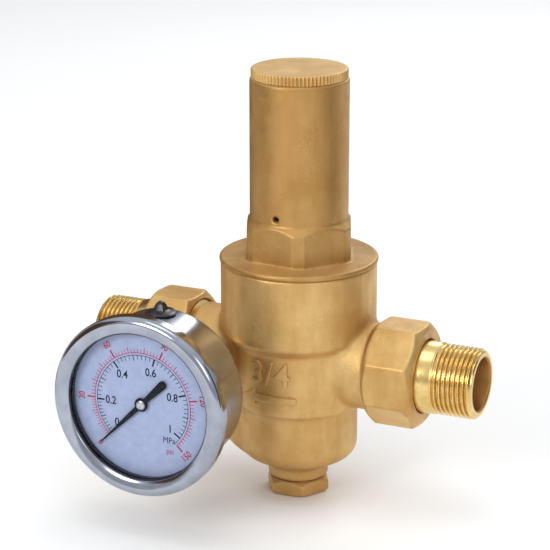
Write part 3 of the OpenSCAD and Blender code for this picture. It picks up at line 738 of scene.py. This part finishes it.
casting_skin = body_casting()
soft_copy("bonnet", "bonnet_casting", "housing", 0.42, 3, BONNET_BRASS)
soft_copy("inlet_nut", "inlet_nut_forging", "inlet_union", 0.36, 6)
soft_copy("outlet_nut", "outlet_nut_forging", "outlet_union", 0.36, 6)
soft_copy("bottom_plug", "bottom_plug_forging", "housing", 0.3, 3)
for side_name in ("inlet", "outlet"):
    union_thread(side_name)
    tailpiece(side_name)
serrated_cap()
waist_marks(casting_skin)


# ---------- gauge shell ----------

def cut_hole(piece, place, radius, low, high):
    """Drills a round hole along the local z of a place, in millimetres."""
    points, faces = turned([(0, low), (radius, low), (radius, high), (0, high)], 64)
    drill = bpy.data.objects.new("drill", mesh_of("drill", points, faces, place))
    scene.collection.objects.link(drill)
    modifier = piece.modifiers.new("hole", "BOOLEAN")
    modifier.operation = "DIFFERENCE"
    modifier.solver = "EXACT"
    modifier.object = drill
    graph = bpy.context.evaluated_depsgraph_get()
    piece.data = bpy.data.meshes.new_from_object(piece.evaluated_get(graph))
    piece.modifiers.clear()
    bpy.data.objects.remove(drill)


def gauge_shell():
    """The pressed case, the bezel ring crimped over its flange, and the window's seal."""
    wall, corner_r, flange_r, socket_r = 0.8, 3, 33, 6.2
    corner = (CASE_R - corner_r, CASE_BACK + corner_r)
    case = [(socket_r, CASE_BACK)] + arc(*corner, corner_r, -90, 0, 10)
    case += [(CASE_R, z) for z in levels(CASE_BACK + 5, FLANGE_Z - wall - 0.6, 2.5)]
    case += [(CASE_R + 0.2, FLANGE_Z - wall - 0.15), (CASE_R + 0.6, FLANGE_Z - wall)]
    case += [(flange_r, FLANGE_Z - wall), (flange_r, FLANGE_Z), (CASE_R - wall, FLANGE_Z)]
    case += arc(*corner, corner_r - wall, 0, -90, 8) + [(socket_r, CASE_BACK + wall)]
    shell = turned_piece("steel_case", case, ON_GAUGE, "housing", "polished_steel", ["gauge_case"],
                         material=CASE_STEEL)
    cut_hole(shell, ON_PLUG, 4.0, 20, 35)

    crimp_r, roll_r, inner_roll_r, foot_r = 30.3, 2.6, 1.8, 1
    roll = (BEZEL_R - roll_r, BEZEL_FRONT - roll_r)
    bezel = [(crimp_r, FLANGE_Z - 1.7), (flange_r, FLANGE_Z - 1.7)]
    bezel += arc(BEZEL_R - foot_r, FLANGE_Z - 0.7, foot_r, -90, 0, 8)
    bezel += arc(*roll, roll_r, 0, 100, 20)
    bezel += [(29.4, 68.75), (SIGHT_R + 0.7, 68.32), (SIGHT_R + 0.5, WINDOW_TOP + 0.95)]
    bezel += [(SIGHT_R + 0.35, WINDOW_TOP + 0.6)]
    bezel += arc(*roll, inner_roll_r, 100, 0, 14)
    bezel += [(BEZEL_R - wall, FLANGE_Z - 0.85), (crimp_r, FLANGE_Z - 0.85)]
    turned_piece("crimped_bezel", bezel, ON_GAUGE, "housing", "polished_steel",
                 ["gauge_bezel"], 640)

    seal_r, pane_r, pane_low = 32.9, 28.8, 65.9
    seal = [(SIGHT_R, FLANGE_Z + 0.05), (seal_r, FLANGE_Z + 0.05), (seal_r, WINDOW_TOP - 0.3)]
    seal += [(30.5, WINDOW_TOP + 0.45), (SIGHT_R + 0.2, WINDOW_TOP + 0.5)]
    seal += [(SIGHT_R, WINDOW_TOP + 0.3), (SIGHT_R, WINDOW_TOP + 0.01)]
    seal += [(pane_r, WINDOW_TOP + 0.01), (pane_r, pane_low), (SIGHT_R, pane_low)]
    turned_piece("window_seal", seal, ON_GAUGE, "housing", "black_rubber", ["window_gasket"])


def filler_plug():
    """The rubber vent plug: a flange bent to the case and a squared, tapering nipple."""
    outline = [(0, 26.5), (3.5, 26.5), (3.9, 26.9), (3.9, 30.05), (5.4, 30.05), (5.7, 30.2)]
    outline += [(5.8, 30.45), (5.65, 30.7), (5.2, 30.85), (4.0, 31.0), (3.0, 31.15), (2.5, 31.4)]
    outline += [(2.3, 31.8), (1.95, 32.7), (1.55, 33.5), (1.15, 34.1), (0.8, 34.35)]
    outline += [(0.4, 34.4), (0, 34.4)]

    def shape(radius, z, angle):
        if z < 31.3:
            return radius
        square = 1 / max(abs(math.cos(angle)), abs(math.sin(angle)))
        return radius * (1 + 0.8 * (square - 1)) * 0.92

    points, faces = turned(outline, 64, shape)
    bent = [(x, y, z - (CASE_R - math.sqrt(CASE_R ** 2 - x * x)) if z > 28 else z)
            for x, y, z in points]
    mesh = mesh_of("filler_nipple", bent, faces, ON_PLUG)
    finished_piece("filler_nipple", mesh, "vent_plug", "black_rubber", ["filler_plug"], sharp=40)


gauge_shell()
filler_plug()


# ---------- dial ----------

DIAL_ZERO = 225.0
DIAL_KNEE = 180.9
DIAL_END = -45.0
PSI_KNEE = 30.0
PSI_FULL = 150.0
PSI_PER_MPA = 145.04
MPA_BAND_R = 18.5
PSI_BAND_R = 19.4
PSI_LABEL_R = 24.8
PRINT_LOW = DIAL_TOP - 0.02
PRINT_HIGH = DIAL_TOP + 0.03


def dial_angle(psi):
    """Where a pressure is printed: the scale is closed up below its first numeral."""
    if psi < PSI_KNEE:
        return DIAL_ZERO + (DIAL_KNEE - DIAL_ZERO) * psi / PSI_KNEE
    return DIAL_KNEE + (DIAL_END - DIAL_KNEE) * (psi - PSI_KNEE) / (PSI_FULL - PSI_KNEE)


class Print:
    """Gathers the flat shapes of one printing ink into one mesh."""

    def __init__(self):
        self.points = []
        self.faces = []

    def add(self, points, faces):
        start = len(self.points)
        self.points += points
        self.faces += [tuple(k + start for k in face) for face in faces]

    def tick(self, angle, near, far, width):
        turned_by = math.radians(angle)
        along = Vector((math.cos(turned_by), math.sin(turned_by)))
        across = Vector((-along.y, along.x)) * width / 2
        corners = [along * near - across, along * far - across,
                   along * far + across, along * near + across]
        self.add(*prism([tuple(c) for c in corners], PRINT_LOW, PRINT_HIGH))

    def band(self, start, end, radius, width):
        steps = 96
        outer = arc(0, 0, radius + width / 2, start, end, steps)
        inner = arc(0, 0, radius - width / 2, start, end, steps)
        for i in range(steps):
            cell = [inner[i], outer[i], outer[i + 1], inner[i + 1]]
            self.add(*prism(cell, PRINT_LOW, PRINT_HIGH))

    def words(self, text, x, y, size, turn=0.0, weight=0.016):
        mesh = text_mesh(text, size, PRINT_HIGH - PRINT_LOW, weight * size)
        mesh.transform(Matrix.Scale(0.86, 4, (1, 0, 0)))
        place = Matrix.Translation((x, y, (PRINT_LOW + PRINT_HIGH) / 2)) @ turn_about("Z", turn)
        mesh.transform(place)
        self.add([tuple(v.co) for v in mesh.vertices], [tuple(f.vertices) for f in mesh.polygons])

    def piece(self, name, material):
        mesh = mesh_of(name, self.points, self.faces, ON_GAUGE)
        finished_piece(name, mesh, "housing", "dial_paint", material=material)


def mpa_scale():
    """The inner, black scale in megapascals."""
    ink = Print()
    ink.band(dial_angle(PSI_FULL), DIAL_ZERO, MPA_BAND_R, 0.22)
    for number in range(51):
        mpa = number * 0.02
        major = number % 10 == 0
        middling = number % 5 == 0
        near = 15.6 if major else 16.4 if middling else 16.9
        width = 0.62 if major else 0.32 if middling else 0.24
        ink.tick(dial_angle(mpa * PSI_PER_MPA), near, MPA_BAND_R, width)
    for label in ("0", "0.2", "0.4", "0.6", "0.8", "1"):
        aside = -5.5 if label == "0" else 0
        angle = math.radians(dial_angle(float(label) * PSI_PER_MPA) + aside)
        radius = 13.7 if label in "01" else 12.9
        ink.words(label, radius * math.cos(angle), radius * math.sin(angle), 4.3)
    ink.words("MPa", 10.6, -12.5, 3.4, weight=0.0)
    ink.piece("dial_black_print", BLACK_PRINT)


def psi_scale():
    """The outer, red scale in pounds per square inch."""
    ink = Print()
    ink.band(dial_angle(PSI_FULL), DIAL_ZERO, PSI_BAND_R, 0.28)
    for psi in range(0, 151, 2):
        major = psi % 30 == 0
        middling = psi % 10 == 0
        far = 22.6 if major else 21.6 if middling else 20.9
        width = 0.60 if major else 0.30 if middling else 0.23
        ink.tick(dial_angle(psi), PSI_BAND_R + 0.1, far, width)
    for psi in range(0, 151, 30):
        angle = dial_angle(psi)
        turn = angle - 90 if 0 < angle < 200 else angle + 90
        where = math.radians(angle)
        ink.words(str(psi), PSI_LABEL_R * math.cos(where), PSI_LABEL_R * math.sin(where), 3.5, turn)
    ink.words("psi", 11.0, -16.7, 3.2, weight=0.0)
    ink.piece("dial_red_print", RED_PRINT)


def gauge_pointer():
    """A stamped pointer: a tapering blade, a hub and a broad round-ended tail."""
    hub_r, tail_r, tail_x = 2.6, 1.6, -12.4
    outline = [(24.1, -0.2), (24.1, 0.2)] + arc(0, 0, hub_r, 24, 158, 12)
    outline += arc(tail_x, 0, tail_r, 90, 270, 12) + arc(0, 0, hub_r, 202, 336, 12)
    low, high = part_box("pointer")
    points, faces = prism(outline, -high.y / MM, -low.y / MM)
    mesh = mesh_of("stamped_pointer", points, faces, ON_GAUGE @ turn_about("Z", DIAL_ZERO))
    shell = bmesh.new()
    shell.from_mesh(mesh)
    rims = [e for e in shell.edges if abs(e.verts[0].co.y - e.verts[1].co.y) < 0.01 * MM]
    bmesh.ops.bevel(shell, geom=rims, offset=0.12 * MM, segments=2, affect="EDGES")
    shell.to_mesh(mesh)
    shell.free()
    finished_piece("stamped_pointer", mesh, "pointer_set", "pointer_paint", ["pointer"])


mpa_scale()
psi_scale()
gauge_pointer()


# ---------- springs and the gauge's tube ----------

def swept(path, section):
    """A tube of cross-section points (across, up) along a path of (point, across, up)."""
    sides = len(section)
    points = [tuple(centre + across * u + up * v)
              for centre, across, up in path for u, v in section]
    faces = []
    for i in range(len(path) - 1):
        for j in range(sides):
            k = (j + 1) % sides
            faces.append((i * sides + j, (i + 1) * sides + j, (i + 1) * sides + k, i * sides + k))
    last = (len(path) - 1) * sides
    return points, faces + [tuple(range(sides)), tuple(last + j for j in reversed(range(sides)))]


def main_spring():
    """The round-wire spring, built as two halves split at mid height."""
    turns, wire_r, mean_r = 9.0, 1.8, 12.5
    low_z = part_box("main_spring")[0].z / MM + wire_r
    high_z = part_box("main_spring")[1].z / MM - wire_r
    bottom, top = [spindle_at(z) for z in (low_z, high_z)]
    halfway = (bottom + top) / 2
    sides = 16
    section = [(wire_r * math.cos(TURN * k / sides), wire_r * math.sin(TURN * k / sides))
               for k in range(sides)]
    halves = [("lower_spring", 0, turns / 2, "piston_set", "housing", bottom, halfway),
              ("upper_spring", turns / 2, turns, "housing", "spring_seat", halfway, top)]
    for name, first, last, start_body, end_body, start, end in halves:
        path = []
        for turn in levels(first, last, 1 / 40):
            angle = TURN * turn
            climb = min(max((turn - 0.8) / (turns - 1.6), 0), 1)
            outward = Vector((math.cos(angle), math.sin(angle), 0))
            centre = outward * mean_r + Vector((0, 0, low_z + (high_z - low_z) * climb))
            path.append((centre, outward, Vector((0, 0, 1))))
        mesh = mesh_of(name, *swept(path, section), ON_SPINDLE)
        spring = finished_piece(name, mesh, None, "spring_steel", ["main_spring"])
        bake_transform(spring)


def spindle_at(z):
    return Vector((spindle_x, 0, z * MM))


def gauge_tube():
    """The flattened tube that pressure straightens, swept along a fixed arc."""
    radius, half_thick, half_wide, mid_z = 21.5, 1.2, 4.0, 50.0
    section = []
    for k in range(24):
        angle = TURN * k / 24
        across = half_thick * math.copysign(abs(math.cos(angle)) ** 0.6, math.cos(angle))
        up = half_wide * math.copysign(abs(math.sin(angle)) ** 0.6, math.sin(angle))
        section.append((across, up))
    path = []
    for degrees in levels(-45, 225, 3):
        angle = math.radians(degrees)
        outward = Vector((math.cos(angle), math.sin(angle), 0))
        path.append((outward * radius + Vector((0, 0, mid_z)), outward, Vector((0, 0, 1))))
    mesh = mesh_of("bent_tube", *swept(path, section), ON_GAUGE)
    tube = finished_piece("bent_tube", mesh, None, "turned_brass", ["bourdon_tube"])
    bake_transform(tube)


main_spring()
gauge_tube()


# ---------- stage ----------

OBJECT_CENTRE = tuple((cad_box[0] + cad_box[1]) / 2)
FLOOR_Z = cad_box[0].z - 0.3 * MM
BROWN = (1.4, 0.72, 0.30)
CAMERA_PLACE = (0.2320, -0.6882, 0.2708)
CAMERA_TARGET = (-0.08167, -0.00374, 0.03241)


def aim(thing, target, axis):
    """Turns an object so that its local axis points at the target."""
    thing.rotation_euler = (Vector(target) - thing.location).to_track_quat(axis, "Y").to_euler()


def staged_plane(name, centre, target, width, height, material):
    """A flat card that faces its target, or lies level without one."""
    points = [(-width / 2, -height / 2, 0), (width / 2, -height / 2, 0),
              (width / 2, height / 2, 0), (-width / 2, height / 2, 0)]
    mesh = bpy.data.meshes.new(name)
    mesh.from_pydata(points, [], [(0, 1, 2, 3)])
    mesh.materials.append(material)
    card = bpy.data.objects.new(name, mesh)
    scene.collection.objects.link(card)
    card.location = centre
    if target:
        aim(card, target, "Z")
    return card


def reflector(name, centre, width, height, brightness, warmth=(1, 1, 1.02), lying=False):
    """A card that only mirror-like surfaces see, as in a photographer's tent."""
    material = bpy.data.materials.new(name)
    material.use_nodes = True
    nodes = material.node_tree.nodes
    glow = nodes.new("ShaderNodeEmission")
    glow.inputs["Color"].default_value = (*(brightness * share for share in warmth), 1)
    material.node_tree.links.new(glow.outputs[0], nodes["Material Output"].inputs["Surface"])
    card = staged_plane(name, centre, None if lying else OBJECT_CENTRE, width, height, material)
    card.visible_camera = False
    card.visible_diffuse = False
    card.visible_shadow = False
    card.visible_transmission = False


def area_light(name, centre, size, power, warmth=(1, 1, 1)):
    light = bpy.data.lights.new(name, "AREA")
    light.shape = "DISK"
    light.size = size
    light.energy = power
    light.color = warmth
    lamp = bpy.data.objects.new(name, light)
    scene.collection.objects.link(lamp)
    lamp.location = centre
    aim(lamp, OBJECT_CENTRE, "-Z")
    lamp.visible_camera = False


def room():
    """White to the camera, and a softer tent of light to everything else."""
    world = bpy.data.worlds.new("tent")
    scene.world = world
    world.use_nodes = True
    nodes, links = world.node_tree.nodes, world.node_tree.links
    direction = nodes.new("ShaderNodeTexCoord").outputs["Generated"]
    split = nodes.new("ShaderNodeSeparateXYZ")
    links.new(direction, split.inputs[0])
    ramp = nodes.new("ShaderNodeMapRange")
    for name, number in zip(("From Min", "From Max", "To Min", "To Max"), (-0.4, 0.9, 0.38, 0.90)):
        ramp.inputs[name].default_value = number
    links.new(split.outputs["Z"], ramp.inputs["Value"])
    tent = nodes["Background"]
    links.new(ramp.outputs["Result"], tent.inputs["Strength"])
    tent.inputs["Color"].default_value = (0.96, 0.98, 1.0, 1)
    white = nodes.new("ShaderNodeBackground")
    white.inputs["Color"].default_value = (1, 1, 1, 1)
    white.inputs["Strength"].default_value = 1.0
    seen = nodes.new("ShaderNodeLightPath")
    both = nodes.new("ShaderNodeMixShader")
    links.new(seen.outputs["Is Camera Ray"], both.inputs[0])
    links.new(tent.outputs[0], both.inputs[1])
    links.new(white.outputs[0], both.inputs[2])
    links.new(both.outputs[0], nodes["World Output"].inputs["Surface"])


def stage():
    """Floor, lights and the cards that the bare metal mirrors."""
    floor_shader = Shader("pale_floor")
    tone = floor_shader.mix(floor_shader.noise(60, 2), (0.94, 0.94, 0.94, 1),
                            (0.96, 0.96, 0.96, 1))
    floor_material = floor_shader.set(Base_Color=tone, Roughness=0.8)
    staged_plane("pale_floor", (OBJECT_CENTRE[0], 0, FLOOR_Z), None, 12, 12, floor_material)
    area_light("key_light", (-0.36, -0.92, 0.50), 0.40, 4.0)
    area_light("fill_light", (0.75, -0.70, 0.55), 0.50, 1.6)
    area_light("back_light", (-0.10, 0.95, 0.60), 0.45, 2.2)
    area_light("top_light", (-0.1, -0.1, 1.1), 0.60, 1.6)
    reflector("brown_left", (-0.30, 0.17, 0.06), 0.26, 0.30, 0.10, BROWN)
    reflector("brown_side", (-0.31, -0.14, 0.08), 0.24, 0.17, 0.10, BROWN)
    reflector("brown_low_left", (-0.30, 0.07, -0.05), 0.20, 0.18, 0.26, BROWN, lying=True)
    reflector("dark_right", (0.20, 0.05, 0.08), 0.16, 0.26, 0.10)
    room()


def camera():
    """A long lens, looking down at the object from its front right."""
    made = bpy.data.objects.new("camera", bpy.data.cameras.new("camera"))
    scene.collection.objects.link(made)
    made.data.sensor_width = 36
    made.data.lens = 137.7
    made.location = CAMERA_PLACE
    aim(made, CAMERA_TARGET, "-Z")
    scene.camera = made


camera()
stage()
scene.view_settings.view_transform = "Standard"
